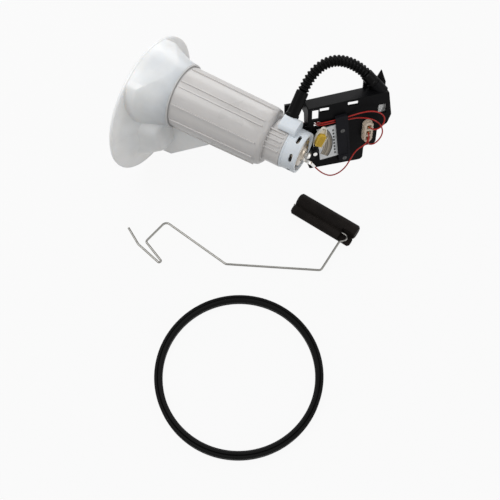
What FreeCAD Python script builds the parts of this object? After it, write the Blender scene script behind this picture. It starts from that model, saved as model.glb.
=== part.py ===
import FreeCAD, Part
import math
import os

V = FreeCAD.Vector
ACROSS, UP, ALONG = V(1, 0, 0), V(0, 1, 0), V(0, 0, 1)

# Driving sizes, in mm and degrees.
# The kit lies as it is laid out on a table: the filter with its sender behind,
# the loose float arm in front of it and the loose seal ring at the front.

flange_radius = 70.5        # outer edge of the round tank flange
rim_thickness = 3.0         # the edge that the lock ring presses on the tank neck
rim_width = 6.5             # flat part of the edge
plateau_radius = 38.0       # raised middle of the flange, at the top of a shallow cone
plateau_height = 14.0
flange_wall = 3.0
housing_offset = 36.34      # filter axis above the middle of the flange
lobe_height = 31.0          # the fuel chamber that stands out of the cone
collar_height = 41.0        # the bell that holds the housing
collar_wall = 1.6           # at its mouth
collar_flare = 9.5          # it widens this much down to the cone

nipple_spot = (22.0, 2.0)   # fuel nipple on the outer side
nipple_radius = 4.1
nipple_foot, nipple_end = -9.0, -27.0
window_spot = (30.0, -17.0)  # electrical socket
socket_mouth = -19.0

housing_radius = 30.6       # at the flange end of the filter housing
housing_taper = 0.0203      # radius lost for each mm of length
housing_start = 8.0
shoulder_start = 131.0
neck_radius = 20.6
neck_wall = 2.0
neck_start = shoulder_start + 6.5
neck_end = neck_start + 16.5
housing_wall = 2.2
rib_height = 1.1
rib_thickness = 1.3
rib_start = collar_height + 3.0
rib_angles = (65.0, 100.5, 111.5, 145.5, 178.0, 212.0, 246.0, 280.0, 316.0, 352.0)
fin_angles = (101.6, 112.5, 124.0, 136.0, 148.5)
fin_radius = 21.9
fin_thickness = 1.3

element_radius = 25.0       # pleated paper
element_core = 11.5
element_start = 13.0
element_room = 7.0          # free length between the paper and the shoulder
element_length = shoulder_start - element_start - element_room
pleat_count = 32
element_cap_thickness = 3.0

cap_radius = 19.7           # white end cap
spigot_length = 9.0         # the cap's spigot goes this far into the neck
cap_end = neck_end + 16.0
cap_slot_angles = (96.0, 151.0, 206.0, 261.0)
outlet_spot = V(15.0, 21.7, neck_end - 6.5)    # from the filter axis, where the hose stub starts
outlet_rise = 39.9          # the stub points sideways and this much upward
stub_radius = 4.0

regulator_radius = 14.5
hose_radius = 5.1
hose_root = 4.1             # between two convolutions
hose_pitch = 3.6
cuff_radius = 5.7
cuff_length = 25.0
fit_gap = 0.15              # between pieces that are pushed together

carrier_corner = V(15.4, -42.24, cap_end + 2.3)   # lower left front corner, from the filter axis
carrier_swing = 46.85       # the carrier stands at this angle to the filter
carrier_lean = 15.0
carrier_height = 71.0
carrier_width = 78.0
carrier_depth = 14.0
carrier_wall = 2.2
carrier_face = 2.4
# Mouth of the boss on the carrier that takes the hose.
socket_spot = V(carrier_width - 15.3, carrier_height + 8.8, -10.0)
socket_lean = 40.5          # the boss leans this much to the left
socket_back = 20.0          # and this much backward
socket_height = 8.0
end_cuff_length = 12.0
pump_spot = (carrier_width - 19.4, 21.5, -8.4)   # lower end of the jet pump in the carrier
pump_throat = 3.4

sensor_turn = 7.0           # the sender unit sits a little askew on the carrier
cover_width, cover_height, cover_top = 11.8, 55.0, 3.9
cover_middle = (31.8, 31.6)
upper_screw_reach = 11.0    # up from the cover's middle
lower_screw_inset = 4.5     # from the cover's lower end
card_size = (18.6, 37.0, 1.0)
card_middle = (17.3, 29.8)
card_lift = 1.0             # the card stands on pads above the carrier
pivot = (2.4, 26.0)         # pin that the sender lever turns on
pin_radius = 1.5
band_middle = (-6.0, 28.4)  # the contact band on the card is struck from here
band_outer, band_inner = 27.1, 19.2
print_height = 0.25         # what is printed on the card
print_gap = 0.02
arm_angle = 67.0            # the lever points this way at rest
lever_reach = 25.0
wiper_lift = 4.2
hub_radius = 3.6
block_reach = 4.9           # of the coloured block to the side away from the band
run_gap = 0.05              # radial, round a pin

plug_middle = (carrier_width - 22.2, 36.0)
plug_size = (8.0, 22.0, 5.5)
lead_radius = 0.65

ring_outer_radius = 77.5    # loose seal ring
ring_width = 7.3
ring_height = 8.5
ring_spot = (-10.2, -109.6)

wire_radius = 1.1           # float arm
float_length = 70.0
float_lobes = ((4.2, 5.4, 5.4), (-7.0, 7.8, 7.8))   # across, above the floor, radius
wire_height = 6.2           # where the wire goes through the float

# Where the main groups stand on the table.

nose_dip = 1.52             # the filter axis dips this much away from the flange
table_turn = 29.72          # and points this much toward the front
flange_spot = (-99.44, 151.51)


def turn(axis, degrees):
    return FreeCAD.Placement(V(), FreeCAD.Rotation(axis, degrees))


def shift(x, y, z):
    return FreeCAD.Placement(V(x, y, z), FreeCAD.Rotation())


# In the flange frame x points sideways, y up and z along the filter.
FLANGE = (
    shift(flange_spot[0], flange_spot[1], flange_radius * math.cos(math.radians(nose_dip)))
    * turn(V(0, 0, 1), -table_turn)
    * turn(V(0, 1, 0), nose_dip)
    * turn(V(1, 1, 1), 120)
)
HOUSING = FLANGE * shift(0, housing_offset, 0)
CARRIER = (
    HOUSING
    * FreeCAD.Placement(carrier_corner, FreeCAD.Rotation())
    * turn(V(0, 1, 0), -carrier_swing)
    * turn(V(1, 0, 0), -carrier_lean)
)
OUTLET = (
    HOUSING
    * FreeCAD.Placement(outlet_spot, FreeCAD.Rotation())
    * turn(V(0, 0, 1), outlet_rise)
    * turn(V(0, 1, 0), 90)
)
SOCKET = (
    CARRIER
    * FreeCAD.Placement(socket_spot, FreeCAD.Rotation())
    * turn(V(0, 0, 1), socket_lean)
    * turn(V(1, 0, 0), -90 - socket_back)
)


def box(x0, x1, y0, y1, z0, z1):
    return Part.makeBox(x1 - x0, y1 - y0, z1 - z0, V(x0, y0, z0))


def disc(radius, z0, z1, x=0.0, y=0.0):
    return Part.makeCylinder(radius, z1 - z0, V(x, y, z0))


def tube(outer, inner, z0, z1, x=0.0, y=0.0):
    return disc(outer, z0, z1, x, y).cut(disc(inner, z0 - 1, z1 + 1, x, y))


def joined(shapes):
    return shapes[0].multiFuse(shapes[1:]).removeSplitter()


def closed_face(points):
    return Part.Face(Part.makePolygon(list(points) + [points[0]]))


def slab(points, z0, z1):
    face = closed_face([V(x, y, z0) for x, y in points])
    return face.extrude(V(0, 0, z1 - z0))


def turned(points):
    """A solid turned about the z axis from (radius, z) points."""
    face = closed_face([V(r, 0, z) for r, z in points])
    return face.revolve(V(0, 0, 0), ALONG, 360)


def rounded_outline(corners):
    """A closed wire through (x, y, radius) corners, each rounded by its radius."""
    edges, ends = [], []
    count = len(corners)
    for i, (x, y, radius) in enumerate(corners):
        here = V(x, y, 0)
        before = V(*corners[i - 1][:2], 0) - here
        after = V(*corners[(i + 1) % count][:2], 0) - here
        before.normalize()
        after.normalize()
        half = before.getAngle(after) / 2
        if radius == 0 or half > math.pi / 2 - 0.01:
            ends.append((here, here))
            continue
        reach = radius / math.tan(half)
        middle_way = before + after
        middle_way.normalize()
        centre = here + middle_way * (radius / math.sin(half))
        start, finish = here + before * reach, here + after * reach
        ends.append((start, finish))
        edges.append((i, Part.Arc(start, centre - middle_way * radius, finish).toShape()))
    arcs = dict(edges)
    wire = []
    for i in range(count):
        if i in arcs:
            wire.append(arcs[i])
        start, finish = ends[i][1], ends[(i + 1) % count][0]
        if (finish - start).Length > 1e-6:
            wire.append(Part.LineSegment(start, finish).toShape())
    return Part.Wire(wire)


def rounded_slab(corners, z0, z1):
    face = Part.Face(rounded_outline(corners))
    face.translate(V(0, 0, z0))
    return face.extrude(V(0, 0, z1 - z0))


def rounded_box(x0, x1, y0, y1, z0, z1, radius):
    corners = [(x0, y0, radius), (x1, y0, radius), (x1, y1, radius), (x0, y1, radius)]
    return rounded_slab(corners, z0, z1)


def round_route(points):
    """A wire of straight runs with an arc at each corner, and the tightest arc."""
    edges, start, tightest = [], points[0], 1e9
    for i in range(1, len(points) - 1):
        here = points[i]
        back, ahead = points[i - 1] - here, points[i + 1] - here
        reach = 0.45 * min(back.Length, ahead.Length)
        half_turn = (math.pi - back.getAngle(ahead)) / 2
        back.normalize()
        ahead.normalize()
        radius = reach / math.tan(half_turn)
        tightest = min(tightest, radius)
        inward = back + ahead
        inward.normalize()
        centre = here + inward * (radius / math.cos(half_turn))
        a, b = here + back * reach, here + ahead * reach
        edges.append(Part.LineSegment(start, a).toShape())
        edges.append(Part.Arc(a, centre - inward * radius, b).toShape())
        start = b
    edges.append(Part.LineSegment(start, points[-1]).toShape())
    return Part.Wire(edges), tightest


def cord(name, points, radius):
    """A round cord along the points, all in the table's frame."""
    route, tightest = round_route(points)
    first = points[1] - points[0]
    section = Part.Wire([Part.makeCircle(radius, points[0], first)])
    solid = route.makePipeShell([section], True, True)
    print(f"{name}: {route.Length:.1f} mm long, tightest arc {tightest:.1f} mm")
    return solid


def housing_at(z):
    return housing_radius - housing_taper * (z - housing_start)


def on(frame, x, y, z):
    return frame.multVec(V(x, y, z))


def placed(shape, frame):
    shape = shape.copy()
    shape.Placement = frame * shape.Placement
    return shape


def flange():
    """The round lid of the tank: shallow cone, fuel chamber, collar for the filter and nipple."""
    inner_edge = flange_radius - rim_width
    front, back = rim_thickness / 2, -rim_thickness / 2
    low = plateau_height - flange_wall
    body = turned([
        (0, plateau_height), (0, low), (plateau_radius - 1, low), (plateau_radius + 6, low - 3),
        (inner_edge - 9, back + 0.8), (inner_edge - 5, back), (flange_radius - 0.6, back),
        (flange_radius, back + 0.6), (flange_radius, front - 0.6), (flange_radius - 0.6, front),
        (inner_edge, front), (inner_edge - 7, front + 1.4), (plateau_radius + 8, plateau_height - 3.4),
        (plateau_radius + 3, plateau_height - 0.8), (plateau_radius, plateau_height),
    ])
    chamber = chamber_shape(0.0).common(disc(flange_radius - 7, -6, lobe_height + 1))
    bulk = joined([body, chamber, collar()])
    hollow = chamber_shape(flange_wall).common(disc(flange_radius - 7 - flange_wall, -7, lobe_height))
    seat = disc(housing_at(0) + fit_gap, housing_start - 0.2, collar_height + 1, 0, housing_offset)
    bulk = bulk.cut(hollow).cut(seat)
    web = [(6, -56), (25.5, -54), (74, -4), (84, 14), (30, 14), (6, -4)]
    gusset = closed_face([V(-11.5, y, z) for z, y in web]).extrude(V(3, 0, 0))
    gusset = gusset.cut(disc(housing_at(rib_start) + 1.6, -10, shoulder_start, 0, housing_offset))
    boss = disc(9, nipple_foot, plateau_height, *nipple_spot)
    nipple = turned([
        (0, nipple_end), (nipple_radius - 0.7, nipple_end), (nipple_radius, nipple_end + 2.5),
        (nipple_radius, nipple_foot), (6.5, nipple_foot), (6.5, 0), (0, 0),
    ])
    nipple.translate(V(*nipple_spot, 0))
    whole = joined([bulk, gusset, boss, nipple])
    whole = whole.cut(disc(2.4, nipple_end - 1, plateau_height + 1, *nipple_spot))
    x, y = window_spot
    window = box(x - 8, x + 8, y - 6, y + 6, -8, plateau_height + 1)
    return whole.cut(window)


def chamber_shape(inset):
    """The fuel chamber, wide at its foot and narrower at its rounded top."""
    foot = [(-46, -47, 20), (8, -51, 9), (10, 4, 12), (-16, 26, 16), (-48, 18, 16)]
    top = [(-34, -24, 14), (3, -28, 7), (5, 4, 10), (-14, 21, 12), (-36, 14, 12)]
    sections = []
    for corners, height in ((foot, -rim_thickness / 2 - inset), (top, lobe_height - inset)):
        outline = Part.Face(rounded_outline(corners))
        if inset:
            outline = outline.makeOffset2D(-inset)
        wire = outline.Wires[0]
        wire.translate(V(0, 0, height))
        sections.append(wire)
    shape = Part.makeLoft(sections, True, True)
    if inset:
        return shape
    edges = [e for e in shape.Edges if e.BoundBox.ZMin > lobe_height - 0.01]
    return shape.makeFillet(6.0, edges)


def collar():
    """The sleeve for the housing, flared where it stands on the cone."""
    mouth, foot = housing_at(0) + fit_gap + collar_wall, plateau_height - 3
    wide = mouth + collar_flare
    points = [V(0, 0, -rim_thickness / 2), V(wide, 0, -rim_thickness / 2), V(wide, 0, foot)]
    flare_end = V(mouth, 0, collar_height - 4)
    middle = V(mouth + collar_flare * 0.5, 0, foot + (collar_height - 4 - foot) * 0.38)
    edges = [Part.LineSegment(a, b).toShape() for a, b in zip(points, points[1:])]
    edges.append(Part.Arc(points[-1], middle, flare_end).toShape())
    rest = [flare_end, V(mouth - 0.3, 0, collar_height), V(0, 0, collar_height), points[0]]
    edges += [Part.LineSegment(a, b).toShape() for a, b in zip(rest, rest[1:])]
    shape = Part.Face(Part.Wire(edges)).revolve(V(), ALONG, 360)
    shape.translate(V(0, housing_offset, 0))
    return shape.common(disc(flange_radius - 0.6, -6, collar_height + 1))


def electrical_socket():
    """The plug-in body that fills the window in the flange, open to the outside."""
    x, y = window_spot
    top = plateau_height + 3.0
    plug = rounded_box(x - 7.8, x + 7.8, y - 5.8, y + 5.8, 2.0, top, 0.8)
    shroud = rounded_box(x - 10, x + 10, y - 8, y + 8, socket_mouth, 4.0, 2.5)
    shroud = shroud.cut(rounded_box(x - 8.2, x + 8.2, y - 6.2, y + 6.2, socket_mouth - 1, -6.0, 1.5))
    exits = [disc(0.9, top - 2, top + 1, x - 4 + 4 * i, y) for i in range(3)]
    return joined([plug, shroud]).cut(Part.makeCompound(exits))


def socket_pins():
    x, y = window_spot
    end = socket_mouth + 4
    pins = [box(x - 4.4 + 4 * i, x - 3.6 + 4 * i, y - 0.9, y + 0.9, end, -5.95) for i in range(3)]
    bases = box(x - 5, x + 5, y - 1.5, y + 1.5, -6.5, -5.95)
    return joined([bases] + pins)


def housing():
    """The slightly conical canister with light ribs along it and a finned neck."""
    neck_inner = neck_radius - neck_wall
    shell = turned([
        (housing_radius, housing_start), (housing_at(shoulder_start), shoulder_start),
        (neck_radius + 6.4, neck_start - 3.1), (neck_radius + 3.4, neck_start - 0.6),
        (neck_radius, neck_start),
        (neck_radius, neck_end), (neck_inner, neck_end), (neck_inner, neck_start - 2.1),
        (neck_radius + 1.8, neck_start - 2.7), (neck_radius + 4.2, neck_start - 4.5),
        (housing_at(shoulder_start) - housing_wall, shoulder_start - 1),
        (housing_radius - housing_wall, housing_start),
    ])
    pieces = [shell]
    for angle in rib_angles:
        low, high = rib_start, shoulder_start
        rib = closed_face([
            V(housing_at(low) - 0.7, -rib_thickness / 2, low),
            V(housing_at(low) + rib_height, -rib_thickness / 2, low),
            V(housing_at(high) + rib_height, -rib_thickness / 2, high),
            V(housing_at(high) - 0.7, -rib_thickness / 2, high),
        ]).extrude(V(0, rib_thickness, 0))
        rib.rotate(V(), ALONG, angle)
        pieces.append(rib)
    for angle in fin_angles + tuple(a + 180 for a in fin_angles):
        fin = closed_face([
            V(neck_radius - 1, -fin_thickness / 2, neck_start - 1.6),
            V(fin_radius + 1.5, -fin_thickness / 2, neck_start - 1.6),
            V(fin_radius, -fin_thickness / 2, neck_start + 1.5),
            V(fin_radius, -fin_thickness / 2, neck_end - 2.6),
            V(neck_radius - 1, -fin_thickness / 2, neck_end - 1.5),
        ]).extrude(V(0, fin_thickness, 0))
        fin.rotate(V(), ALONG, angle)
        pieces.append(fin)
    return joined(pieces)


def filter_element():
    """The pleated paper, as one star-shaped ring."""
    points = []
    for i in range(pleat_count):
        for radius, part in ((element_radius, 0.0), (element_core + 2.5, 0.5)):
            angle = 2 * math.pi * (i + part) / pleat_count
            points.append((radius * math.cos(angle), radius * math.sin(angle)))
    finish = element_start + element_length
    paper = slab(points, element_start, finish)
    return paper.cut(disc(element_core + fit_gap, element_start - 1, finish + 1))


def element_base():
    plate = disc(element_radius + 0.6, element_start - element_cap_thickness, element_start)
    return plate.cut(disc(2.4, 0, element_start + 1, -12, 0))


def element_head():
    low = element_start + element_length
    plate = disc(element_radius + 0.4, low, low + element_cap_thickness)
    spout = disc(10.0, low, low + 7)
    return joined([plate, spout]).cut(disc(8.2, low - 1, low + 8))


def core_tube():
    low, high = element_start, element_start + element_length
    pipe = tube(element_core, element_core - 1.4, low, high)
    holes = []
    for row in range(7):
        for quarter in (0, 90):
            middle = low + element_length * (row + 0.5) / 7
            hole = Part.makeCylinder(2.2, 30, V(-15, 0, middle), ACROSS)
            hole.rotate(V(), ALONG, quarter + 45 * (row % 2))
            holes.append(hole)
    return pipe.cut(Part.makeCompound(holes))


def end_cap():
    """The white cap with its spigot in the neck, hose stub and two stakes for the carrier."""
    spigot = neck_radius - neck_wall - fit_gap
    low, high = neck_end + 0.2, neck_end + 3.2
    groove, deep, stake_height = neck_end - 4.0, neck_end - spigot_length, neck_end + 4.5
    body = turned([
        (6.0, deep), (spigot - 0.6, deep), (spigot, deep + 0.8),
        (spigot, groove - 1.1), (spigot - 1.6, groove - 1.1), (spigot - 1.6, groove + 1.1),
        (spigot, groove + 1.1), (spigot, low), (cap_radius + 0.6, low), (cap_radius + 0.6, low + 1.4),
        (cap_radius, low + 2.0), (cap_radius, cap_end - 0.8), (cap_radius - 0.5, cap_end),
        (cap_radius - 2.4, cap_end), (cap_radius - 2.4, high), (6.0, high),
    ])
    block = rounded_box(-2.5, 15.0, 11.0, 27.0, neck_end - 11.5, neck_end + 5.5, 6.0)
    block = block.cut(disc(fin_radius + fit_gap, neck_start, low))
    block = block.cut(placed(disc(cuff_radius + 1.2, 0.2, 30), HOUSING.inverse() * OUTLET))
    pad = box(13.0, 21.4, -15.5, 4.5, low + 0.3, stake_height + 5)
    pad = pad.cut(disc(cap_radius - 1.2, low, cap_end + 5))
    pieces = [body, block.cut(disc(cap_radius - 2.4, high, cap_end + 5)), pad]
    for y in (-12.2, 1.2):
        stake = Part.makeCylinder(1.3, 4.6, V(21.0, y, stake_height), ACROSS)
        head = Part.makeCylinder(2.1, 1.2, V(24.6, y, stake_height), ACROSS)
        pieces += [stake, head]
    stub = turned([(0, -6), (stub_radius, -6), (stub_radius, 7), (stub_radius - 0.8, 8), (0, 8)])
    stub = placed(stub, HOUSING.inverse() * OUTLET).cut(disc(fin_radius + fit_gap, neck_start, low))
    whole = joined(pieces + [stub])
    for angle in cap_slot_angles:
        middle, round_end = cap_end - 5.6, 1.6
        slot = box(14.0, 22.0, -2.7, 2.7, middle - round_end, middle + round_end)
        ends = [Part.makeCylinder(round_end, 8, V(14, y, middle), ACROSS) for y in (-2.7, 2.7)]
        slot = joined([slot] + ends)
        slot.rotate(V(), ALONG, angle)
        whole = whole.cut(slot)
    bore = placed(disc(3.0, -9, 9), HOUSING.inverse() * OUTLET)
    return whole.cut(bore)


def neck_seal():
    inner = neck_radius - neck_wall - fit_gap - 1.6
    return tube(inner + 1.65, inner + 0.05, neck_end - 4.9, neck_end - 3.1)


def regulator_body():
    low, top, lip = neck_end + 3.4, cap_end, regulator_radius + 1.9
    return turned([
        (0, low), (regulator_radius - 1, low), (regulator_radius, low + 1), (regulator_radius, top - 5),
        (lip, top - 4.6), (lip, top - 3), (regulator_radius - 0.6, top - 2.7),
        (regulator_radius - 2, top - 0.7), (7.5, top + 0.2), (6.0, top + 1.6), (4.4, top + 1.9),
        (0, top + 1.9),
    ])


def regulator_nipple():
    low = cap_end + 2
    return turned([
        (0, low), (2.2, low), (2.2, low + 1.4), (3.0, low + 2.2), (3.1, low + 3.2), (2.4, low + 4.4),
        (1.3, low + 5), (0, low + 5),
    ])


def regulator_seal():
    return Part.makeTorus(regulator_radius + 1.4, 1.3, V(0, 0, neck_end + 5.8))


def regulator_clip():
    low = cap_end - 2.6
    ring = tube(cap_radius - 2.55, cap_radius - 4.5, low, low + 0.9)
    gap = box(-4, 4, 10, 20, low - 1, low + 3)
    gap.rotate(V(), ALONG, 150)
    return ring.cut(gap)


def ground_terminal():
    """The bent tab on the regulator with the crimp for its lead."""
    low = cap_end + 0.25
    tab = box(0.3, 3.7, -12.6, -8.2, low, low + 0.6)
    leg = box(0.3, 3.7, -12.6, -12.0, low, low + 8.15)
    grip = Part.makeCylinder(1.5, 7.0, terminal_end(), terminal_way())
    grip = placed(grip, HOUSING.inverse())
    return joined([tab, leg, grip])


def hose_curve():
    start, finish = on(OUTLET, 0, 0, cuff_length), on(SOCKET, 0, 0, end_cuff_length)
    first, last = on(OUTLET, 0, 0, cuff_length + 45.4), on(SOCKET, 0, 0, end_cuff_length + 12)
    curve = Part.BezierCurve()
    curve.setPoles([start, first, last, finish])
    return curve.toShape()


def hose():
    """The convoluted hose: circles of two sizes in turn, lofted straight from one to the next."""
    edge = hose_curve()
    count = 2 * int(round(edge.Length / hose_pitch))
    rings = []
    for i in range(count + 1):
        place = edge.getParameterByLength(edge.Length * i / count)
        radius = hose_root if i % 2 == 0 else hose_radius
        way = edge.tangentAt(place)
        sideways = way.cross(V(0, 0, 1))
        circle = Part.makeCircle(radius)
        circle.Placement = FreeCAD.Placement(
            edge.valueAt(place), FreeCAD.Rotation(sideways, way.cross(sideways), way, "ZXY")
        )
        rings.append(Part.Wire([circle]))
    print(f"hose: {edge.Length:.1f} mm long, {count // 2} convolutions")
    return Part.makeLoft(rings, True, True)


def inlet_cuff():
    return turned([
        (stub_radius + fit_gap, 0.4), (cuff_radius + 0.6, 0.4), (cuff_radius + 0.6, 3.0),
        (cuff_radius, 3.6), (cuff_radius, cuff_length - 0.8), (cuff_radius - 0.8, cuff_length - 0.05),
        (0, cuff_length - 0.05), (0, 8.4), (stub_radius + fit_gap, 8.4),
    ])


def outlet_cuff():
    high = end_cuff_length - 0.05
    return turned([
        (stub_radius + fit_gap, 0.4), (cuff_radius + 0.6, 0.4), (cuff_radius + 0.6, 2.6),
        (cuff_radius, 3.2), (cuff_radius, high - 0.8), (cuff_radius - 0.8, high), (0, high),
        (0, socket_height + 0.4), (stub_radius + fit_gap, socket_height + 0.4),
    ])


def carrier_corners():
    top, side = carrier_height, carrier_width
    return [
        (0, 0, 2), (side - 23.5, 0, 4), (side - 23.5, 16.5, 3), (side - 11.5, 16.5, 4),
        (side - 11.5, 33.0, 1.5),
        (side - 2, 39.5, 3), (side + 1, 49.0, 2), (side - 4, top + 4, 1.5), (-3, top, 1),
    ]


def carrier():
    """The black tray that carries the sender, with its ribs, crest, hose boss and side arm."""
    top = carrier_height
    outline = Part.Face(rounded_outline(carrier_corners()))
    body = outline.extrude(V(0, 0, -carrier_depth))
    pocket = outline.makeOffset2D(-carrier_wall).extrude(V(0, 0, -carrier_depth))
    pocket.translate(V(0, 0, -carrier_face))
    ribs = [
        box(23.4, 25.2, 1, top, -carrier_depth + 3, -1),
        box(carrier_width - 29, carrier_width - 27.2, 1, top, -carrier_depth + 3, -1),
        box(0, carrier_width - 25, 24.0, 25.8, -carrier_depth + 5, -1),
        box(8, carrier_width - 12, 46.0, 47.8, -carrier_depth + 5, -1),
    ]
    pump_room = Part.makeCylinder(pump_throat + fit_gap, 60, V(pump_spot[0], 10, pump_spot[2]), UP)
    ribs = joined(ribs).common(body).cut(pump_room)
    shell = joined([body.cut(pocket), ribs])
    back = -carrier_depth - 1.6
    right = carrier_width
    crest = slab([
        (right - 24, top - 3), (right - 24, top + 13), (right - 21.8, top + 13), (right - 20.4, top + 6),
        (right - 14, top + 6), (right - 7.4, top + 18.3), (right - 2.4, top + 5.5), (right - 2.4, top - 3),
    ], back, -carrier_depth + 0.4)
    arm = [
        box(-2.6, 0.4, 57.5, 63.0, -24.0, -1.0),
        box(-18.5, 0.4, 57.5, 63.0, -24.0, -21.4),
        box(-18.5, -16.0, 50.5, 63.0, -24.0, -21.4),
    ]
    boss = joined([disc(cuff_radius + 0.4, -12, 0), disc(stub_radius, -12, socket_height)])
    boss = placed(boss, CARRIER.inverse() * SOCKET)
    boss = boss.common(box(right - 38, right, top - 4, top + 40, back, -0.5))
    crest = crest.cut(placed(disc(cuff_radius + 1.0, 0.2, 60), CARRIER.inverse() * SOCKET))
    foot = box(21.55, 24.45, -16.0, 5.0, neck_end, neck_end + 11)
    foot = placed(foot, CARRIER.inverse() * HOUSING)
    post = disc(pin_radius + 1.4, -1, wiper_lift - run_gap, *pivot)
    pieces = [shell, crest, boss, foot, post] + arm
    outside = placed(box(21.6, 70, -70, 70, neck_start - 7, cap_end + 20), CARRIER.inverse() * HOUSING)
    for low in (28.4, 44.6):
        pieces.append(box(-9.0, 1.0, low, low + 2.4, -12.5, -1.5).common(outside))
    whole = joined(pieces)
    holes = [
        box(1.3, 7.8, 57.6, top - 2.6, -4, 2),
        box(8.3, 17.7, top - 6.1, top - 1.6, -4, 2),
        box(34.9, 45.3, top - 4.5, top, -4, 2),
        box(right - 12.8, right - 4.6, 51.8, 62.0, -4, 2),
        rounded_box(3.2, 9.6, 49.4, 55.2, -4, 2, 1.2),
        placed(disc(2.9, -14, 30), CARRIER.inverse() * SOCKET).common(box(0, 90, top - 8, 200, -40, 10)),
    ]
    for y in (-12.2, 1.2):
        hole = Part.makeCylinder(1.3 + fit_gap, 6, V(19.0, y, neck_end + 4.5), ACROSS)
        room = Part.makeCylinder(2.5, 4, V(24.45, y, neck_end + 4.5), ACROSS)
        holes += [placed(h, CARRIER.inverse() * HOUSING) for h in (hole, room)]
    for x, y in cover_screw_spots():
        holes.append(disc(1.15, -4, 2, x, y))
    holes.append(disc(pin_radius, -1.6, wiper_lift + 1, *pivot))
    return whole.cut(Part.makeCompound(holes))


def strainer():
    left = carrier_width - 14.2
    frame = box(left, left + 10.1, 50.4, 62.6, -3.4, -carrier_face - 0.05)
    frame = frame.cut(box(left + 1.2, left + 8.8, 51.8, 61.6, -5, 0))
    strands = [box(left + 1.1 + 0.9 * i, left + 1.4 + 0.9 * i, 51, 62, -3.1, -2.8) for i in range(1, 9)]
    strands += [box(left + 0.6, left + 9.4, 51.8 + 0.9 * i, 52.1 + 0.9 * i, -3.1, -2.8) for i in range(11)]
    return joined([frame] + strands)


def jet_pump():
    """The small suction jet that the hose feeds, behind the carrier's face."""
    pump = turned([
        (0, 0), (4.6, 0), (5.2, 3), (pump_throat, 16), (pump_throat, 30), (4.6, 38), (4.6, 44), (0, 44),
    ])
    bore = turned([(0, -1), (3.4, -1), (3.4, 1), (2.0, 16), (2.0, 30), (2.9, 40), (2.9, 45), (0, 45)])
    inlet = Part.makeCylinder(2.4, 7, V(0, 0, 38), ACROSS)
    pump = joined([pump, inlet]).cut(bore)
    pump.rotate(V(), ACROSS, -90)
    pump.translate(V(*pump_spot))
    return pump


def askew(shape, middle):
    """Sets a piece that was made round its own middle onto the carrier's face."""
    return placed(shape, shift(middle[0], middle[1], 0) * turn(ALONG, sensor_turn))


def cover_screw_spots():
    turned_by = math.radians(sensor_turn)
    spots = []
    for reach in (upper_screw_reach, lower_screw_inset - cover_height / 2):
        spots.append((cover_middle[0] - reach * math.sin(turned_by),
                      cover_middle[1] + reach * math.cos(turned_by)))
    return spots


def sensor_cover():
    x, y = cover_width / 2, cover_height / 2
    cover = rounded_box(-x, x, -y, y, 0.1, cover_top, 1.2)
    cover = cover.cut(box(-x - 1, -x + 3.4, -y + 6, 19.0, -1, 2.4))
    cover = cover.cut(box(-x - 1, x + 1, 18.4, 25.4, -1, 2.75))
    cover = cover.cut(box(-x + 2, x - 2, -y + 9, y - 22, cover_top - 0.4, cover_top + 1))
    for reach in (upper_screw_reach, lower_screw_inset - y):
        cover = cover.cut(disc(1.25, -1, cover_top + 1, 0, reach))
        cover = cover.cut(disc(2.3, cover_top - 1.2, cover_top + 1, 0, reach))
    return askew(cover, cover_middle)


def cover_screws():
    screws = []
    for x, y in cover_screw_spots():
        shank = disc(1.1, -2.2, cover_top - 1.1, x, y)
        head = disc(2.1, cover_top - 1.15, cover_top + 0.1, x, y)
        slot = box(x - 0.3, x + 0.3, y - 1.8, y + 1.8, cover_top - 0.4, cover_top + 1)
        screws.append(joined([shank, head]).cut(slot))
    return Part.makeCompound(screws)


def sensor_card():
    wide, tall, thick = card_size
    card = box(-wide / 2, wide / 2, -tall / 2, tall / 2, card_lift, card_lift + thick)
    pads = [box(-wide / 2 + 2, -wide / 2 + 5, y, y + 3, 0.05, card_lift + 0.1) for y in (-15, 12)]
    pads += [box(wide / 2 - 8, wide / 2 - 5, y, y + 3, 0.05, card_lift + 0.1) for y in (-15, 12)]
    return askew(joined([card] + pads), card_middle)


def sector(inner, outer, start, finish, z0, z1, middle):
    """A flat piece of a ring."""
    ring = tube(outer, inner, z0, z1)
    points = [(0, 0)]
    steps = 6
    for i in range(steps + 1):
        angle = math.radians(start + (finish - start) * i / steps)
        points.append((outer * 1.3 * math.cos(angle), outer * 1.3 * math.sin(angle)))
    piece = ring.common(slab(points, z0 - 1, z1 + 1))
    piece.translate(V(middle[0], middle[1], 0))
    return piece


def resistor_tracks():
    """The dark outer arc and the row of trimming pads printed on the card."""
    low = card_lift + card_size[2] + print_gap
    pieces = [sector(band_outer + 0.2, band_outer + 0.9, -32, 43, low, low + print_height, band_middle)]
    x = card_size[0] / 2
    for i in range(8):
        pad = box(x - 4.1, x - 2.5, -15 + 3.9 * i, -13 + 3.9 * i, low, low + print_height)
        pieces.append(askew(pad, card_middle))
    return Part.makeCompound(pieces)


def contact_band():
    """The shiny arc that the wiper's fingers sweep."""
    low = card_lift + card_size[2] + print_gap
    return sector(band_inner, band_outer, -32, 43, low, low + print_height, band_middle)


def pivot_pin():
    pin = disc(pin_radius - run_gap, -1.5, wiper_lift + 6.0, *pivot)
    head = disc(2.0, wiper_lift + 5.6, wiper_lift + 6.4, *pivot)
    return joined([pin, head])


def wiper_turn(shape):
    """Turns a piece made along x round the pivot to where the lever points at rest."""
    return placed(shape, shift(pivot[0], pivot[1], wiper_lift) * turn(ALONG, arm_angle))


def wiper_hub():
    """The hub on the pin, with the foot that takes the arm's wire and the neck under the block."""
    hub = disc(hub_radius, 0, 5.2)
    neck = box(2.0, 14.0, -1.9, 2.6, 0.9, 2.6)
    foot = rounded_box(-7.0, -2.0, -2.2, 2.2, 0.9, 5.0, 0.8)
    whole = joined([hub, neck, foot]).cut(disc(pin_radius + run_gap, -1, 9))
    return wiper_turn(whole.cut(arm_hole()))


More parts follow.
